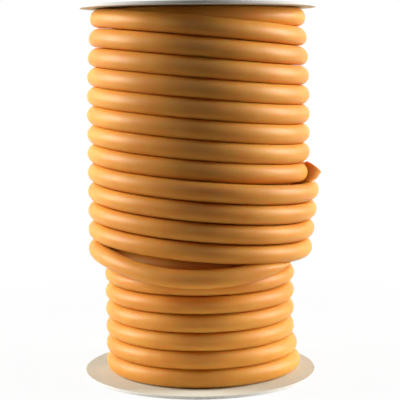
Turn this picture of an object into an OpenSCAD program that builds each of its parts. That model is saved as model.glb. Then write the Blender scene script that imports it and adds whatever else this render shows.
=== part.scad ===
// Rubber tubing wound in two layers on a board spool, standing on its bottom flange.
// The origin is the centre of that flange's underside. The viewer stands at -Y.

/* [Spool] */
// How far the flanges reach past the outer turns
flange_margin = 2.8; // [1:0.1:12]
// Thickness of the flange board
flange_t = 1.6; // [1:0.1:4]
// Clear width between the flanges
winding_w = 186; // [160:1:230]
// Outside diameter of the core tube
core_d = 76; // [64:1:90]
// Wall thickness of the core tube
core_wall = 2; // [1:0.1:4]
// Diameter of the spindle hole in each flange
spindle_d = 16; // [8:0.5:30]

/* [Tubing] */
// Outside diameter of the tubing
tube_od = 9.5; // [8.5:0.1:10.5]
// Wall thickness of the tubing
tube_wall = 1.6; // [1.2:0.1:2.4]
// Least gap between one turn and the next, and between the turns and the spool
turn_gap = 0.1; // [0.05:0.05:0.3]

/* [Winding] */
// Whole turns of the inner layer that the outer layer leaves bare
bare_turns = 5; // [2:1:8]
// How far the bare turns have sprung away from the core
bare_slack = 1.45; // [0.5:0.05:2.5]
// Turns of the outer layer that the tail pushes outward
pushed_turns = 4; // [3:1:6]
// How far the topmost of those turns is pushed
push = 4.6; // [2:0.1:6]

/* [Hidden] */
$fn = 48;

// Each arc of the tubing stops a hair short of the next, and a sleeve inside the wall joins the two
joint_slit = 0.02;
sleeve_l = 3;
sleeve_cover = 0.4;

// Centre radius of the tight inner turns, the bare inner turns and the outer turns
inner_r = core_d / 2 + turn_gap + tube_od / 2;
bare_r = inner_r + bare_slack;
outer_r = inner_r + tube_od + turn_gap;

// Diameter of the two flanges
flange_d = 2 * (outer_r + tube_od / 2 + flange_margin);

// Centre height of the lowest and the highest turn, and the climb of each turn
first_z = flange_t + turn_gap + tube_od / 2;
last_z = flange_t + winding_w - turn_gap - tube_od / 2;
inner_turns = floor((last_z - first_z) / (tube_od + turn_gap));
pitch = (last_z - first_z) / inner_turns;
outer_turns = inner_turns - bare_turns - 1;
strand_z = last_z - outer_turns * pitch;

// The bare turns lie close together, and the covered ones keep to the heights of the outer turns
function inner_turn_r(k) = k <= bare_turns ? bare_r : inner_r;
function inner_turn_z(k) = first_z + k * (k <= bare_turns ? tube_od + turn_gap : pitch);
function outer_turn_z(j) = last_z - j * pitch;

// The tail crosses under the lowest outer turns, and lifts the higher of them more
function pushed_out(j) = push * max(0, outer_turns + 1 - j) / pushed_turns;
function outer_turn_r(j) = outer_r + (j > outer_turns - pushed_turns ? pushed_out(j) : 0);

// A point at an angle round the spool, counted from +X and positive towards the back
function on_drum(r, angle, z) = [r * cos(angle), r * sin(angle), z];
function side_point(side, r, z) = [side * r, 0, z];

// Where the tubing crosses the plane y = 0, left and right by turns. An inner turn is level across
// the front and climbs behind. An outer turn is level behind and comes down across the front.
inner_points = [for (k = [0 : inner_turns], side = [-1, 1]) if (k < inner_turns || side < 0)
    side_point(side, inner_turn_r(k), inner_turn_z(k))];
outer_points = [for (j = [0 : outer_turns], side = [1, -1])
    side_point(side, side > 0 ? outer_turn_r(j) : outer_r, outer_turn_z(j))];

// At the top front the tubing swings out to the outer layer, in a wide arc and then a tight one
// that meet where it heads halfway between right and back
half_heading = sqrt(1 / 2);
swing_gain = (outer_r - inner_r) / (2 * half_heading - 1);
swing_wide_r = inner_r + swing_gain * half_heading;
swing_points = [
    [0, -inner_r, last_z],
    [swing_wide_r * half_heading, swing_wide_r * (1 - half_heading) - inner_r, last_z]
];

// Below the outer layer the last strand dips across the front, goes in under the layer at the
// right, and comes out above the turns that it pushes, as a free end that points up and outward.
// A step is how far out from the outer turns, the angle, and how far up from the last turn, with
// both distances in tube diameters.
tail_steps = [
    [0.1, -125, -0.53],
    [0.16, -90, -0.84],
    [0.05, -59, -0.61],
    [0, -44, -0.295],
    [-0.125, -30, 0.03],
    [-0.19, -15, 0.915],
    [-0.19, -10.7, 2.21],
    [0.02, -11.5, 3.265],
    [0.715, -10.3, 4.42]
];
tail_points = [for (t = tail_steps) on_drum(outer_r + t[0] * tube_od, t[1], strand_z + t[2] * tube_od)];
route = concat(inner_points, swing_points, outer_points, tail_points);
last = len(route) - 1;

// Direction of travel at each point: every arc leaves along the direction that the last one gave
start_heading = [0, -1, 0];
function unit(v) = v / norm(v);
function heading_after(p, heading, q) = let (chord = unit(q - p)) 2 * (chord * heading) * chord - heading;
headings = [for (i = 0, h = start_heading; i <= last;
    h = i < last ? heading_after(route[i], h, route[i + 1]) : h, i = i + 1) h];

// Places its children at a point, with their axes along three unit vectors
module placed(x, y, z, p) {
    multmatrix([[x[0], y[0], z[0], p[0]], [x[1], y[1], z[1], p[1]], [x[2], y[2], z[2], p[2]]]) children();
}

module ring(outside, inside) {
    difference() {
        circle(d = outside);
        circle(d = inside);
    }
}

// One arc of tubing that leaves p along a heading and ends at q
module tube_arc(p, heading, q) {
    chord = q - p;
    swing = cross(heading, chord);
    axis = unit(swing);
    outward = cross(heading, axis);
    radius = chord * chord / (2 * norm(swing));
    angle = 2 * atan2(norm(swing), heading * chord);
    trim = asin(joint_slit / radius);
    placed(outward, heading, axis, p - radius * outward)
        rotate([0, 0, trim]) rotate_extrude(angle = angle - 2 * trim) translate([radius, 0])
            ring(tube_od, tube_od - 2 * tube_wall);
}

// The sleeve inside the tube wall where two arcs meet
module wall_sleeve(p, heading) {
    sideways = unit(cross(heading, [1, 1, 10]));
    placed(sideways, cross(heading, sideways), heading, p)
        translate([0, 0, -sleeve_l / 2]) linear_extrude(sleeve_l)
            ring(tube_od - 2 * sleeve_cover, tube_od - 2 * tube_wall + 2 * sleeve_cover);
}

module flange() {
    linear_extrude(flange_t) ring(flange_d, spindle_d);
}

module bottom_flange() {
    color("ivory") flange();
}

module top_flange() {
    color("ivory") translate([0, 0, flange_t + winding_w]) flange();
}

module core_tube() {
    color("tan") translate([0, 0, flange_t]) linear_extrude(winding_w) ring(core_d, core_d - 2 * core_wall);
}

module tubing() {
    color("sandybrown") {
        for (i = [0 : last - 1]) tube_arc(route[i], headings[i], route[i + 1]);
        for (i = [1 : last - 1]) wall_sleeve(route[i], headings[i]);
    }
}

bottom_flange();
top_flange();
core_tube();
tubing();
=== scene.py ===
# %% [markdown]
# # A reel of amber rubber tubing
# The reel stands on its lower flange: two round boards, a paper core between them, and about nine
# metres of soft tubing wound on the core in two layers. The lesson loads the imported parts first, as
# the flanges' sizes and places come from them.

# %% Load the imported reel
import math

import bmesh
import bpy
from mathutils import Matrix, Vector


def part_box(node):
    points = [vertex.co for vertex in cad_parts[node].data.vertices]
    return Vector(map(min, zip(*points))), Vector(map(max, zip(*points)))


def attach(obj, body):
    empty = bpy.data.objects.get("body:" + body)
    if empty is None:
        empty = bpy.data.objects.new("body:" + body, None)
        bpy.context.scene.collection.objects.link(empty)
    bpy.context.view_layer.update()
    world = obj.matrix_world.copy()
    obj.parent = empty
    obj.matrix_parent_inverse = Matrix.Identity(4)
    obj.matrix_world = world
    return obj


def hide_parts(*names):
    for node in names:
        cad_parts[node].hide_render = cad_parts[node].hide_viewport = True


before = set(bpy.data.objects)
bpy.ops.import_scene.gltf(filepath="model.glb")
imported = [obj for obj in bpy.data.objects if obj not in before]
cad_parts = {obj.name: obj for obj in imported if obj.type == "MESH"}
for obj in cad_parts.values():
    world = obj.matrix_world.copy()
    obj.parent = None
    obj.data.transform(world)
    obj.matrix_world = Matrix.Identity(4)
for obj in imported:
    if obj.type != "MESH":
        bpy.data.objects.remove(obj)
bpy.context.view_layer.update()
scene = bpy.context.scene
scene.view_settings.view_transform = "Standard"

# %% [markdown]
# ## The camera
# The reel fills the picture from flange to flange, seen level with the upper third of the winding
# and through a long lens. A far camera with a narrow view keeps the two flanges nearly the same
# width, as they are in the picture, and it is held a touch askew.

# %% Place the camera
IMAGE_PX = 400
FOCAL_PX = 1257.7
CAMERA_PLACE = (0.0005, -0.647, 0.1644)
LOOK_DOWN = math.radians(6.62)
ASKEW = math.radians(-0.45)

lens = bpy.data.cameras.new("Reel camera")
lens.sensor_width = 36
lens.lens = lens.sensor_width * FOCAL_PX / IMAGE_PX
camera = bpy.data.objects.new("Reel camera", lens)
camera.location = CAMERA_PLACE
aim = Matrix.Rotation(math.pi / 2 - LOOK_DOWN, 3, "X") @ Matrix.Rotation(ASKEW, 3, "Z")
camera.rotation_euler = aim.to_euler()
scene.collection.objects.link(camera)
scene.camera = camera
print("lens in millimetres:", round(lens.lens, 1))

# %% [markdown]
# ## The route of the tubing
# The real tubing was wound from the bottom up on the bare core, swung out at the top front and then
# wound down again over itself. The last strand dips across the front, goes in under the layer and
# sticks out at the right. The route is a list of points, two for each turn, and it repeats the
# points of the solid part. All sizes are in metres, but the free end's steps out and up are in tube
# diameters, with an angle between them.

# %% Sizes that set the route
TUBE_R = 0.00475
TUBE_WALL = 0.0016
TURN_GAP = 0.0001
CORE_R = 0.038
BARE_SLACK = 0.00145
BARE_TURNS = 5
PUSHED_TURNS = 4
PUSH = 0.0046

board_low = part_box("bottom_flange")
board_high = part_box("top_flange")
board_t = board_low[1][2] - board_low[0][2]
low_z = board_low[1][2] + TURN_GAP + TUBE_R
high_z = board_high[0][2] - TURN_GAP - TUBE_R
inner_turns = math.floor((high_z - low_z) / (2 * TUBE_R + TURN_GAP))
outer_turns = inner_turns - BARE_TURNS - 1
pitch = (high_z - low_z) / inner_turns
strand_z = high_z - outer_turns * pitch

inner_r = CORE_R + TURN_GAP + TUBE_R
outer_r = inner_r + TURN_GAP + 2 * TUBE_R
print(inner_turns, "inner turns and", outer_turns, "outer turns,", round(pitch * 1000, 2), "mm apart")

# %% The points of the two layers
def on_drum(r, degrees, z):
    turn = math.radians(degrees)
    return Vector((r * math.cos(turn), r * math.sin(turn), z))


route = []
for k in range(inner_turns + 1):
    bare = k <= BARE_TURNS
    r = inner_r + BARE_SLACK if bare else inner_r
    z = low_z + k * (2 * TUBE_R + TURN_GAP if bare else pitch)
    route.append(Vector((-r, 0, z)))
    route.append(Vector((r, 0, z)))
route.pop()

half = math.sqrt(0.5)
swing_r = inner_r + half * (outer_r - inner_r) / (2 * half - 1)
route.append(Vector((0, -inner_r, high_z)))
route.append(Vector((swing_r * half, swing_r * (1 - half) - inner_r, high_z)))

for j in range(outer_turns + 1):
    pushed = PUSH * (outer_turns + 1 - j) / PUSHED_TURNS if j > outer_turns - PUSHED_TURNS else 0
    route.append(Vector((outer_r + pushed, 0, high_z - j * pitch)))
    route.append(Vector((-outer_r, 0, high_z - j * pitch)))
print("points in the two layers:", len(route))

# %% The points of the last strand and the free end
TAIL = [
    (0.1, -125, -0.53), (0.16, -90, -0.84), (0.05, -59, -0.61), (0, -44, -0.295), (-0.125, -30, 0.03),
    (-0.19, -15, 0.915), (-0.19, -10.7, 2.21), (0.02, -11.5, 3.265), (0.715, -10.3, 4.42),
]
for out, degrees, rise in TAIL:
    route.append(on_drum(outer_r + out * 2 * TUBE_R, degrees, strand_z + rise * 2 * TUBE_R))
print("the free end is at", [round(x * 1000, 1) for x in route[-1]])

# %% [markdown]
# ## From points to arcs
# A tube bends smoothly, so each pair of points is joined by the one arc that leaves along the
# direction in which the last arc arrived. Half a turn of the winding is then a single arc, and the
# spin operator can sweep the tube along it exactly.

# %% Join the points with arcs
arcs = []
heading = Vector((0, -1, 0))
for here, there in zip(route, route[1:]):
    chord = there - here
    swing = heading.cross(chord)
    axis = swing.normalized()
    outward = heading.cross(axis)
    radius = chord.length_squared / (2 * swing.length)
    angle = 2 * math.atan2(swing.length, heading.dot(chord))
    arcs.append({
        "centre": here - radius * outward, "axis": axis, "radius": radius, "angle": angle,
        "outward": outward, "heading": heading,
    })
    along = chord.normalized()
    heading = 2 * along.dot(heading) * along - heading
lengths = [arc["radius"] * arc["angle"] for arc in arcs]
tube_length = sum(lengths)
print(len(arcs), "arcs,", round(tube_length, 3), "m of tubing, tightest bend",
      round(min(arc["radius"] for arc in arcs) * 1000, 1), "mm")

# %% [markdown]
# ## Sweep the tubing
# A bevelled curve would give the tube too, but without a wall at its cut ends. So a ring of edges is
# spun along each arc. An operator gets slower as its mesh grows, so every arc is spun in a small mesh
# of its own and then joined to the rest. Each vertex keeps how far along the tube it lies and where
# round the section, which later gives the rubber a map that follows the tube.

# %% Spin a ring along one arc
TUBE_SIDES = 24
STEP = 0.004
BEHIND_START = -0.01


def spun_arc(ring, arc, reached):
    part = bmesh.new()
    along_layer = part.verts.layers.float.new("along")
    around_layer = part.verts.layers.float.new("around")
    corners = [part.verts.new(p) for p in ring]
    for i, v in enumerate(corners):
        v[around_layer] = i / TUBE_SIDES
    rim = [part.edges.new(pair) for pair in zip(corners, corners[1:] + corners[:1])]
    bmesh.ops.spin(part, geom=rim, cent=arc["centre"], axis=arc["axis"], angle=arc["angle"],
                   steps=max(3, round(arc["radius"] * arc["angle"] / STEP)), use_merge=False)
    for v in part.verts:
        spoke = v.co - arc["centre"]
        turned = math.atan2(spoke.dot(arc["heading"]), spoke.dot(arc["outward"]))
        if turned < BEHIND_START:
            turned += 2 * math.pi
        v[along_layer] = reached + arc["radius"] * turned
    return part


# %% Join the arcs into one tube
FLATTENED = 0.96
TALL = 1.025
SEAM_MERGE = 0.00001

facing = arcs[0]["heading"].to_track_quat("Z", "Y")
ring = [route[0] + facing @ Vector((FLATTENED * TUBE_R * math.cos(2 * math.pi * i / TUBE_SIDES),
                                    TALL * TUBE_R * math.sin(2 * math.pi * i / TUBE_SIDES), 0))
        for i in range(TUBE_SIDES)]
tube = bmesh.new()
reached = 0.0
for arc in arcs:
    part = spun_arc(ring, arc, reached)
    joined = bpy.data.meshes.new("arc")
    part.to_mesh(joined)
    part.free()
    tube.from_mesh(joined)
    bpy.data.meshes.remove(joined)
    turn = Matrix.Rotation(arc["angle"], 3, arc["axis"])
    ring = [arc["centre"] + turn @ (p - arc["centre"]) for p in ring]
    reached += arc["radius"] * arc["angle"]
bmesh.ops.remove_doubles(tube, verts=tube.verts, dist=SEAM_MERGE)
end_miss = (sum(ring, Vector()) / TUBE_SIDES - route[-1]).length
print("rings swept:", len(tube.verts) // TUBE_SIDES)
print("the end misses its point by", round(end_miss * 1e6, 1), "um")

# %% [markdown]
# ## How the rubber settles
# Soft tubing doesn't stay where a round mandrel would put it. The topmost outer turns sink into the
# layer below, the bare turns sag on one another, and the two lowest stand off to the right. The tail
# is squeezed flat between the layers. A soft-body simulation could find that shape, but a few named
# moves of the vertices are quicker and come out the same every time.

# %% Let the turns settle
SINK = 0.0026
SINK_FROM = 0.13
SAG = 0.0029
SAG_TOP = strand_z + 4 * TUBE_R
BULGE = 0.0034
BULGE_TOP = low_z + 4 * TUBE_R
inner_arcs = 2 * inner_turns + 1
swing_starts = sum(lengths[:inner_arcs])
swing_length = sum(lengths[inner_arcs:inner_arcs + 2])


def share(x):
    return min(1, max(0, x))


def settled(p, along):
    r = math.hypot(p.x, p.y)
    outside = share((along - swing_starts) / swing_length)
    sink = SINK * outside * share((p.z - SINK_FROM) / (high_z - SINK_FROM)) ** 2
    low_share = share((p.z - low_z) / (strand_z - low_z))
    sag = SAG * low_share * share((SAG_TOP - p.z) / (2 * TUBE_R)) * (1 - outside)
    bulge = BULGE * share((BULGE_TOP - p.z) / (BULGE_TOP - low_z)) * share(p.x / r) ** 2
    inward = 1 - sink / r
    return Vector((p.x * inward + bulge, p.y * inward, p.z - sag))


along_layer = tube.verts.layers.float["along"]
for v in tube.verts:
    v.co = settled(v.co, v[along_layer])
print("the topmost turn sinks by", SINK * 1000, "mm, the bare turns sag by up to", SAG * 1000, "mm")

# %% Press the tail flat where turns lie over it
PRESSED_LOW = inner_r + TUBE_R - 0.0003
PRESSED_HIGH = inner_r + TUBE_R + 0.0007
SOFT_PRESS = 0.003
TAIL_ARCS = 7
tail_starts = tube_length - sum(lengths[-TAIL_ARCS:])


def eased(x):
    return share(x) ** 2 * (3 - 2 * share(x))


def pressed(p, along):
    if along < tail_starts:
        return p
    r = math.hypot(p.x, p.y)
    tilt = pitch * (1 - p.x / outer_r) / 2
    lowest_edge = strand_z + tilt - TUBE_R
    highest_edge = strand_z + (PUSHED_TURNS - 1) * pitch + tilt + TUBE_R
    covered = eased((p.z - lowest_edge) / SOFT_PRESS) * eased((highest_edge - p.z) / SOFT_PRESS)
    scale = 1 + covered * (min(PRESSED_HIGH, max(PRESSED_LOW, r)) / r - 1)
    return Vector((p.x * scale, p.y * scale, p.z))


for v in tube.verts:
    v.co = pressed(v.co, v[along_layer])
print("millimetres of tail, with its free end:", round((tube_length - tail_starts) * 1000))

# %% [markdown]
# ## The cut ends
# The tubing is cut square with a knife, so an end shows the wall as a flat ring round a dark bore.
# The end is filled, inset by the wall, and the bore is spun back into the tube along the same bend.

# %% Cut the wall and the bore into both ends
BORE_SHOWN = 0.006
BORE_STEPS = 8
CUT_EDGE = 0.0003


def cut_end(rim, arc, angle):
    face = bmesh.ops.contextual_create(tube, geom=rim)["faces"][0]
    bmesh.ops.inset_individual(tube, faces=[face], thickness=TUBE_WALL, depth=0)
    bore = list(face.edges)
    bmesh.ops.delete(tube, geom=[face], context="FACES_ONLY")
    spun = bmesh.ops.spin(tube, geom=bore, cent=arc["centre"], axis=arc["axis"], angle=angle,
                          steps=BORE_STEPS, use_merge=False)
    deep = [e for e in spun["geom_last"] if isinstance(e, bmesh.types.BMEdge)]
    bmesh.ops.contextual_create(tube, geom=deep)
    bmesh.ops.bevel(tube, geom=rim + bore, offset=CUT_EDGE, segments=2, profile=0.5, affect="EDGES",
                    material=-1)


open_rim = [e for e in tube.edges if e.is_boundary]
first_rim = [e for e in open_rim if (e.verts[0].co - route[0]).length < 2 * TUBE_R]
last_rim = [e for e in open_rim if e not in first_rim]
cut_end(first_rim, arcs[0], BORE_SHOWN / arcs[0]["radius"])
cut_end(last_rim, arcs[-1], -min(BORE_SHOWN / arcs[-1]["radius"], arcs[-1]["angle"]))
bmesh.ops.recalc_face_normals(tube, faces=tube.faces)
print("faces with both ends cut:", len(tube.faces))

# %% Give the tube its map and make it an object
around_layer = tube.verts.layers.float["around"]
tube_map = tube.loops.layers.uv.new("Tube")
for face in tube.faces:
    face.smooth = True
    rounds = [loop.vert[around_layer] for loop in face.loops]
    crosses_seam = max(rounds) - min(rounds) > 0.5
    for loop, around in zip(face.loops, rounds):
        if crosses_seam and around < 0.5:
            around += 1
        loop[tube_map].uv = (around, loop.vert[along_layer])


def finished(mesh, name):
    data = bpy.data.meshes.new(name)
    mesh.to_mesh(data)
    mesh.free()
    piece = bpy.data.objects.new(name, data)
    scene.collection.objects.link(piece)
    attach(piece, "root")
    return piece


tubing = finished(tube, "amber_tubing")
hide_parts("tubing")
print("triangles in the tubing:", sum(len(p.vertices) - 2 for p in tubing.data.polygons))

# %% Step along the settled route of the tubing
STEPS_PER_RADIAN = 12

reached = 0.0
for arc, length in zip(arcs, lengths):
    steps = max(2, round(arc["angle"] * STEPS_PER_RADIAN))
    for i in range(steps):
        turn = arc["angle"] * i / steps
        point = arc["centre"] + arc["radius"] * (
            math.cos(turn) * arc["outward"] + math.sin(turn) * arc["heading"])
        along = reached + length * i / steps
        pressed(settled(point, along), along)
    reached += length

# %% [markdown]
# ## The flanges
# Each flange is a die-cut disc of pressed board with a hole for a rod. The cut leaves its edges a
# little soft, and that softness is what catches the light along the rim. A cylinder with a hole cut
# out of it would do as well, but a small rectangle, spun once round the axis, gives clean faces and
# the hole together. Then the four round edges are bevelled.

# %% Spin the two board discs
flange_r = board_low[1][0]
HOLE_R = 0.008
SOFT_EDGE = 0.00035
DISC_STEPS = 180
SHARP_ANGLE = 1.0


def board_disc(name, low):
    disc = bmesh.new()
    corners = [disc.verts.new((r, 0, z)) for r, z in (
        (HOLE_R, low), (flange_r, low), (flange_r, low + board_t), (HOLE_R, low + board_t))]
    outline = [disc.edges.new((a, b)) for a, b in zip(corners, corners[1:] + corners[:1])]
    bmesh.ops.spin(disc, geom=outline, cent=(0, 0, 0), axis=(0, 0, 1), angle=2 * math.pi,
                   steps=DISC_STEPS, use_merge=True)
    bmesh.ops.recalc_face_normals(disc, faces=disc.faces)
    round_edges = [e for e in disc.edges if e.calc_face_angle(0) > SHARP_ANGLE]
    bmesh.ops.bevel(disc, geom=round_edges, offset=SOFT_EDGE, segments=3, profile=0.5, affect="EDGES",
                    material=-1)
    return finished(disc, name)


lower_board = board_disc("lower_board", board_low[0][2])
upper_board = board_disc("upper_board", board_high[0][2])
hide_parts("bottom_flange")
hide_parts("top_flange")
print("faces in a disc:", len(lower_board.data.polygons))

# %% [markdown]
# ## Shader sums in Python
# A finish is easier to read as a sum than as a picture of nodes. This class holds one output of a
# node tree. Arithmetic on it adds Math nodes, through the one method that makes nodes of any kind.

# %% A class for shader sums
class Tone:
    def __init__(self, tree, socket=None):
        self.tree = tree
        self.socket = socket

    def node(self, kind, settings, inputs, output=0):
        made = self.tree.nodes.new(kind)
        for name, value in settings.items():
            if name == "stops":
                for stop, (position, colour) in zip(made.color_ramp.elements, value):
                    stop.position = position
                    stop.color = colour
            else:
                setattr(made, name, value)
        for name, value in inputs.items():
            if isinstance(value, Tone):
                self.tree.links.new(value.socket, made.inputs[name])
            else:
                made.inputs[name].default_value = value
        return Tone(self.tree, made.outputs[output] if made.outputs else None)

    def maths(self, operation, *values):
        return self.node("ShaderNodeMath", {"operation": operation}, dict(enumerate(values)))

    def __add__(self, other):
        return self.maths("ADD", self, other)

    def __sub__(self, other):
        return self.maths("SUBTRACT", self, other)

    def __rsub__(self, other):
        return self.maths("SUBTRACT", other, self)

    def __mul__(self, other):
        return self.maths("MULTIPLY", self, other)

    __radd__ = __add__
    __rmul__ = __mul__


def blank_finish(name):
    finish = bpy.data.materials.new(name)
    finish.use_nodes = True
    finish.node_tree.nodes.clear()
    return finish, Tone(finish.node_tree)


def mixed(start, factor, first, second):
    return start.node("ShaderNodeMix", {"data_type": "RGBA"}, {0: factor, 6: first, 7: second}, 2)


def noise(start, where, scale, detail, roughness=0.5):
    return start.node("ShaderNodeTexNoise", {}, {
        "Vector": where, "Scale": scale, "Detail": detail, "Roughness": roughness})


print("shader sums are ready")

# %% [markdown]
# ## The amber rubber
# Natural rubber tubing is a clear amber under a dull bloom. A plain colour would look like paint, so
# light goes a little way into it, which turns its shadows brown. The colour drifts slowly from place
# to place, faint draw lines run along the tube, and a fine grain breaks up the sheen. The tube's own
# map gives the lines their direction.

# %% Mix the amber rubber
DARK_AMBER = (0.76, 0.305, 0.037, 1)
PALE_AMBER = (0.9, 0.42, 0.066, 1)
LINE_AMBER = (0.6, 0.2, 0.02, 1)
BLOOM_AMBER = (0.88, 0.5, 0.17, 1)

rubber, start = blank_finish("amber rubber")
place = start.node("ShaderNodeTexCoord", {}, {}, "Object")
tube_uv = start.node("ShaderNodeUVMap", {"uv_map": "Tube"}, {})
drift = noise(start, place, scale=28.0, detail=3.0)
line_space = start.node("ShaderNodeMapping", {}, {"Vector": tube_uv, "Scale": (9.0, 6.0, 1.0)})
draw_lines = noise(start, line_space, scale=4.0, detail=2.0)
grain = noise(start, place, scale=2600.0, detail=2.0)
bloom = noise(start, place, scale=110.0, detail=4.0, roughness=0.65)

amber = start.node("ShaderNodeValToRGB", {"stops": ((0.3, DARK_AMBER), (0.7, PALE_AMBER))}, {"Fac": drift})
amber = mixed(start, draw_lines * 0.1, amber, LINE_AMBER)
amber = mixed(start, bloom * 0.12, amber, BLOOM_AMBER)
dullness = 0.36 + bloom * 0.14 + draw_lines * 0.05
relief = start.node("ShaderNodeBump", {}, {
    "Strength": 0.12, "Distance": 0.0002, "Height": draw_lines * 0.6 + grain * 0.4})
skin = start.node("ShaderNodeBsdfPrincipled", {}, {
    "Base Color": amber, "Roughness": dullness, "Normal": relief, "Specular IOR Level": 0.34,
    "Specular Tint": (1.0, 0.92, 0.75, 1), "Subsurface Weight": 0.9, "Subsurface Radius": (1.0, 0.4, 0.15),
    "Subsurface Scale": 0.004})
start.node("ShaderNodeOutputMaterial", {}, {"Surface": skin})
tubing.data.materials.append(rubber)
print("nodes in the rubber:", len(rubber.node_tree.nodes))

# %% [markdown]
# ## The board
# The discs are pulp board with a smooth, creamy white paper on both faces. The cut edge shows the bare
# board, which is whiter, rougher and layered. Where the face ends and the edge starts is read from
# the distance to the axis, so the finish needs no second material.

# %% Mix the white board
PALE_PAPER = (0.73, 0.735, 0.62, 1)
DULL_PAPER = (0.68, 0.68, 0.555, 1)
PALE_CUT = (0.9, 0.875, 0.81, 1)
DULL_CUT = (0.78, 0.75, 0.68, 1)
FLAT_FACE = 0.999

board, start = blank_finish("white board")
place = start.node("ShaderNodeTexCoord", {}, {}, "Object")
across = start.node("ShaderNodeVectorMath", {"operation": "MULTIPLY"}, {0: place, 1: (1.0, 1.0, 0.0)})
reach = start.node("ShaderNodeVectorMath", {"operation": "LENGTH"}, {0: across}, "Value")
edge = reach.maths("GREATER_THAN", reach, flange_r - SOFT_EDGE * 0.6)
fibres = noise(start, place, scale=900.0, detail=4.0, roughness=0.6)
clouds = noise(start, place, scale=35.0, detail=3.0)
flat = start.node("ShaderNodeMapping", {}, {"Vector": place, "Scale": (60.0, 60.0, 2600.0)})
layers = noise(start, flat, scale=1.0, detail=2.0)

paper = mixed(start, clouds * 0.5 + fibres * 0.3, PALE_PAPER, DULL_PAPER)
cut_board = mixed(start, layers, PALE_CUT, DULL_CUT)
face_colour = mixed(start, edge, paper, cut_board)
relief = start.node("ShaderNodeBump", {}, {
    "Strength": 0.15, "Distance": 0.0002, "Height": fibres * (1 - edge) + layers * edge})
sheet = start.node("ShaderNodeBsdfPrincipled", {}, {
    "Base Color": face_colour, "Roughness": 0.55 + fibres * 0.15 + edge * 0.2, "Normal": relief})
start.node("ShaderNodeOutputMaterial", {}, {"Surface": sheet})
for piece in (lower_board, upper_board):
    piece.data.materials.append(board)
    for face in piece.data.polygons:
        face.use_smooth = abs(face.normal.z) < FLAT_FACE
print("nodes in the board:", len(board.node_tree.nodes))

# %% [markdown]
# ## The core
# Behind the turns is a paper tube, wound from strips in a slow spiral. It shows only through the
# rod holes and in a narrow gap at the back. A plain tube needs no new mesh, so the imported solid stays
# and gets the brown paper with its spiral joints.

# %% Mix the spiral paper of the core
JOINTS_PER_METRE = 14.0
JOINT_WIDTH = 0.02
DARK_KRAFT = (0.5, 0.36, 0.22, 1)
PALE_KRAFT = (0.62, 0.48, 0.32, 1)
JOINT_BROWN = (0.3, 0.2, 0.11, 1)

kraft, start = blank_finish("spiral paper")
place = start.node("ShaderNodeTexCoord", {}, {}, "Object")
height = start.node("ShaderNodeSeparateXYZ", {}, {"Vector": place}, "Z")
axes = height.socket.node.outputs
turn = start.maths("ARCTAN2", Tone(start.tree, axes["Y"]), Tone(start.tree, axes["X"]))
spiral = height * JOINTS_PER_METRE + turn * (1 / (2 * math.pi))
from_joint = start.maths("PINGPONG", spiral, 0.5)
joint = start.maths("LESS_THAN", from_joint, JOINT_WIDTH)
pulp = noise(start, place, scale=600.0, detail=4.0, roughness=0.6)
brown = mixed(start, pulp, DARK_KRAFT, PALE_KRAFT)
brown = mixed(start, joint * 0.6, brown, JOINT_BROWN)
relief = start.node("ShaderNodeBump", {}, {
    "Strength": 0.3, "Distance": 0.0003, "Height": pulp * 0.3 - joint})
wall = start.node("ShaderNodeBsdfPrincipled", {}, {
    "Base Color": brown, "Roughness": 0.75 + pulp * 0.15, "Normal": relief})
start.node("ShaderNodeOutputMaterial", {}, {"Surface": wall})
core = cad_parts["core_tube"]
core.data.materials.clear()
core.data.materials.append(kraft)
print("nodes in the spiral paper:", len(kraft.node_tree.nodes))

# %% [markdown]
# ## Floor and backdrop
# The reel stands on a white sweep of paper that curves up behind it. To stay white without more
# light on the reel, most of what the camera sees of the sweep glows by itself. The rest is plain
# paper: white at the foot, where it keeps the soft shadow, and dark farther out, so that it throws
# little light back on the reel.

# %% Sweep the paper floor up behind the reel
SWEEP_HALF_WIDTH = 3
SWEEP_FRONT = -1.6
SWEEP_STEPS = ((0, 3.4, 0), (0, 0, 3))
SWEEP_CURVE = 0.8

sweep = bmesh.new()
front = [sweep.verts.new((x, SWEEP_FRONT, 0)) for x in (-SWEEP_HALF_WIDTH, SWEEP_HALF_WIDTH)]
edge_now = [sweep.edges.new(front)]
for step in SWEEP_STEPS:
    grown = bmesh.ops.extrude_edge_only(sweep, edges=edge_now)["geom"]
    corners = [v for v in grown if isinstance(v, bmesh.types.BMVert)]
    bmesh.ops.translate(sweep, vec=step, verts=corners)
    edge_now = [e for e in grown if isinstance(e, bmesh.types.BMEdge) and set(e.verts) == set(corners)]
fold = [e for e in sweep.edges if len(e.link_faces) == 2]
bmesh.ops.bevel(sweep, geom=fold, offset=SWEEP_CURVE, segments=16, profile=0.5, affect="EDGES",
                material=-1)
bmesh.ops.recalc_face_normals(sweep, faces=sweep.faces)
sweep_data = bpy.data.meshes.new("paper_sweep")
sweep.to_mesh(sweep_data)
sweep.free()
paper_sweep = bpy.data.objects.new("paper_sweep", sweep_data)
scene.collection.objects.link(paper_sweep)
print("faces in the sweep:", len(sweep_data.polygons))

# %% Mix the white of the sweep
FOOT_R = 0.08
SHADOW_END = 0.3
SHADOW_SHARE = 0.06
FOOT_PAPER = (0.9, 0.9, 0.88, 1)
FAR_PAPER = (0.12, 0.12, 0.12, 1)


def seen_rays(start):
    camera_ray = start.node("ShaderNodeLightPath", {}, {}, "Is Camera Ray")
    rays = camera_ray.socket.node.outputs
    others = [Tone(start.tree, rays[name]) for name in ("Is Glossy Ray", "Is Transmission Ray")]
    return sum(others, camera_ray)


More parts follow.
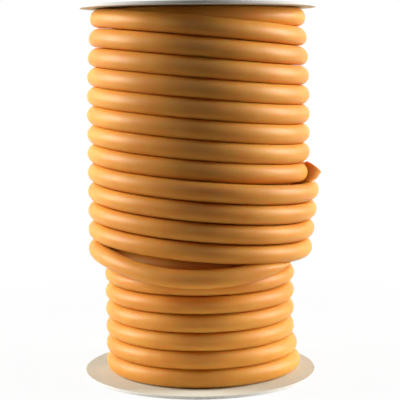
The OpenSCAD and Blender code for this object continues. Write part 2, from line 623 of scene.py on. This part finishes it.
sweep_finish, start = blank_finish("white sweep")
glow = start.node("ShaderNodeEmission", {}, {"Color": (1, 1, 1, 1), "Strength": 1.0})
place = start.node("ShaderNodeTexCoord", {}, {}, "Object")
reach = start.node("ShaderNodeVectorMath", {"operation": "LENGTH"}, {0: place}, "Value")
away = start.node("ShaderNodeMapRange", {}, {"Value": reach, 1: FOOT_R, 2: SHADOW_END})
paper = mixed(start, away, FOOT_PAPER, FAR_PAPER)
plain = start.node("ShaderNodeBsdfDiffuse", {}, {"Color": paper})
white_share = seen_rays(start) * (1 - SHADOW_SHARE * (1 - away))
shown = start.node("ShaderNodeMixShader", {}, {0: white_share, 1: plain, 2: glow})
start.node("ShaderNodeOutputMaterial", {}, {"Surface": shown})
sweep_data.materials.append(sweep_finish)
print("nodes in the sweep's white:", len(sweep_finish.node_tree.nodes))

# %% [markdown]
# ## The light
# In the picture the two sides of the winding are bright and its middle is dark. That comes from a
# tall softbox on each side, a little behind the reel, and almost nothing from the front. The room
# beyond the sweep is white to whatever looks at it, so the reel stands on white from every side, but
# it gives hardly any light.

# %% Hang a softbox on each side
BOX_PLACE = Vector((0.9, 0.085, 0.42))
BOX_SIZE = (0.5, 0.6)
BOX_WATTS = 13.5
BOX_TARGET = Vector((0, 0, 0.1))

for name, side in (("left softbox", -1), ("right softbox", 1)):
    lamp = bpy.data.lights.new(name, "AREA")
    lamp.shape = "RECTANGLE"
    lamp.size, lamp.size_y = BOX_SIZE
    lamp.energy = BOX_WATTS
    holder = bpy.data.objects.new(name, lamp)
    holder.location = BOX_PLACE * Vector((side, 1, 1))
    holder.rotation_euler = (BOX_TARGET - holder.location).to_track_quat("-Z", "Y").to_euler()
    scene.collection.objects.link(holder)

# %% Make the room white to what looks at it
ROOM_LIGHT = 0.002

world = bpy.data.worlds.new("Studio")
world.use_nodes = True
world.node_tree.nodes.clear()
start = Tone(world.node_tree)
brightness = ROOM_LIGHT + seen_rays(start) * (1 - ROOM_LIGHT)
room = start.node("ShaderNodeBackground", {}, {"Color": (1, 1, 1, 1), "Strength": brightness})
start.node("ShaderNodeOutputWorld", {}, {"Surface": room})
scene.world = world
print("nodes in the room:", len(world.node_tree.nodes))
